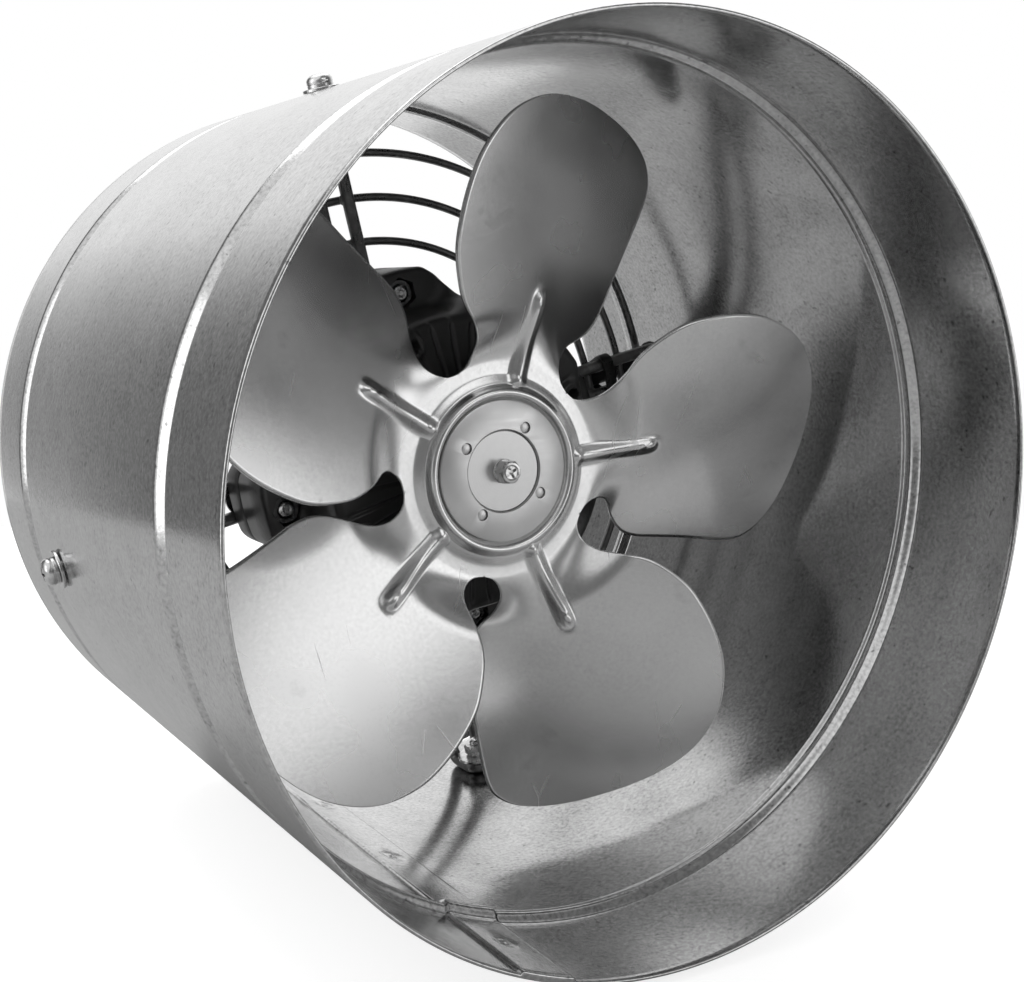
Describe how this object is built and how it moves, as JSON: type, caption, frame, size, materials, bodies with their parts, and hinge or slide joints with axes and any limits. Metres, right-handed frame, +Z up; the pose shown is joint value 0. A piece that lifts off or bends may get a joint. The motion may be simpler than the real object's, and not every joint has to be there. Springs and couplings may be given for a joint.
{
  "type": "inline duct fan",
  "caption": "Straight galvanised duct section with a pressed axial impeller, a black shaded-pole motor on wire spokes and a ring guard.",
  "frame": {"origin": "centre of the front rim circle, the rim on the impeller side", "axes": "+Y along the duct from the front rim to the rear rim, +X to the right seen from the front, +Z up"},
  "size_m": [0.2042, 0.185, 0.2042],
  "materials": {
    "galvanised": "galvanised, faint spangle",
    "spring_steel": "zinc plated",
    "zinc": "bright zinc",
    "zinc_dull": "dull zinc",
    "zinc_plate": "zinc plated, brushed",
    "rubber_black": "matt",
    "lead_black": "satin",
    "nylon_black": "satin",
    "wire_grey": "dark grey",
    "motor_black": "satin black",
    "lamination": "stacked sheet",
    "former_nylon": "natural",
    "copper": "enamelled copper",
    "bronze": "oiled sintered bronze",
    "impeller_alu": "satin",
    "hub_steel": "turned",
    "shaft_steel": "ground",
    "cage_alu": "as cast"
  },
  "bodies": {
    "housing": {"duct_shell": "galvanised", "spring_washers": "spring_steel", "wall_bolts": "zinc", "flat_washers": "zinc", "foot_washers": "zinc", "wall_nuts": "zinc", "through_bolts": "zinc", "through_nuts": "zinc_dull", "motor_washers": "zinc", "wall_grommet": "rubber_black", "lead_gland": "rubber_black", "motor_lead": "lead_black", "cable_tie": "nylon_black", "spoke_right": "wire_grey", "spoke_top": "wire_grey", "spoke_left": "wire_grey", "spoke_bottom": "wire_grey", "guard_ring_inner": "wire_grey", "guard_ring_middle": "wire_grey", "guard_ring_outer": "wire_grey", "motor_front_shell": "motor_black", "motor_rear_shell": "motor_black", "stator_core": "lamination", "coil_formers": "former_nylon", "coil_right": "copper", "coil_top": "copper", "coil_left": "copper", "coil_bottom": "copper", "shading_rings": "copper", "front_bush": "bronze", "rear_bush": "bronze"},
    "rotor": {"shaft": "shaft_steel", "shaft_spacers": "nylon_black", "thrust_washers": "former_nylon", "rotor_core": "lamination", "rotor_cage": "cage_alu", "drive_hub": "hub_steel", "impeller": "impeller_alu", "hub_plate": "zinc_plate", "hub_rivets": "zinc_dull", "lock_washer": "spring_steel", "centre_screw": "zinc"}
  },
  "joints": [
    {"name": "impeller_spin", "type": "hinge", "parent": "housing", "child": "rotor", "pos_m": [0, 0.122, 0], "axis": [0, 1, 0], "continuous": true}
  ]
}
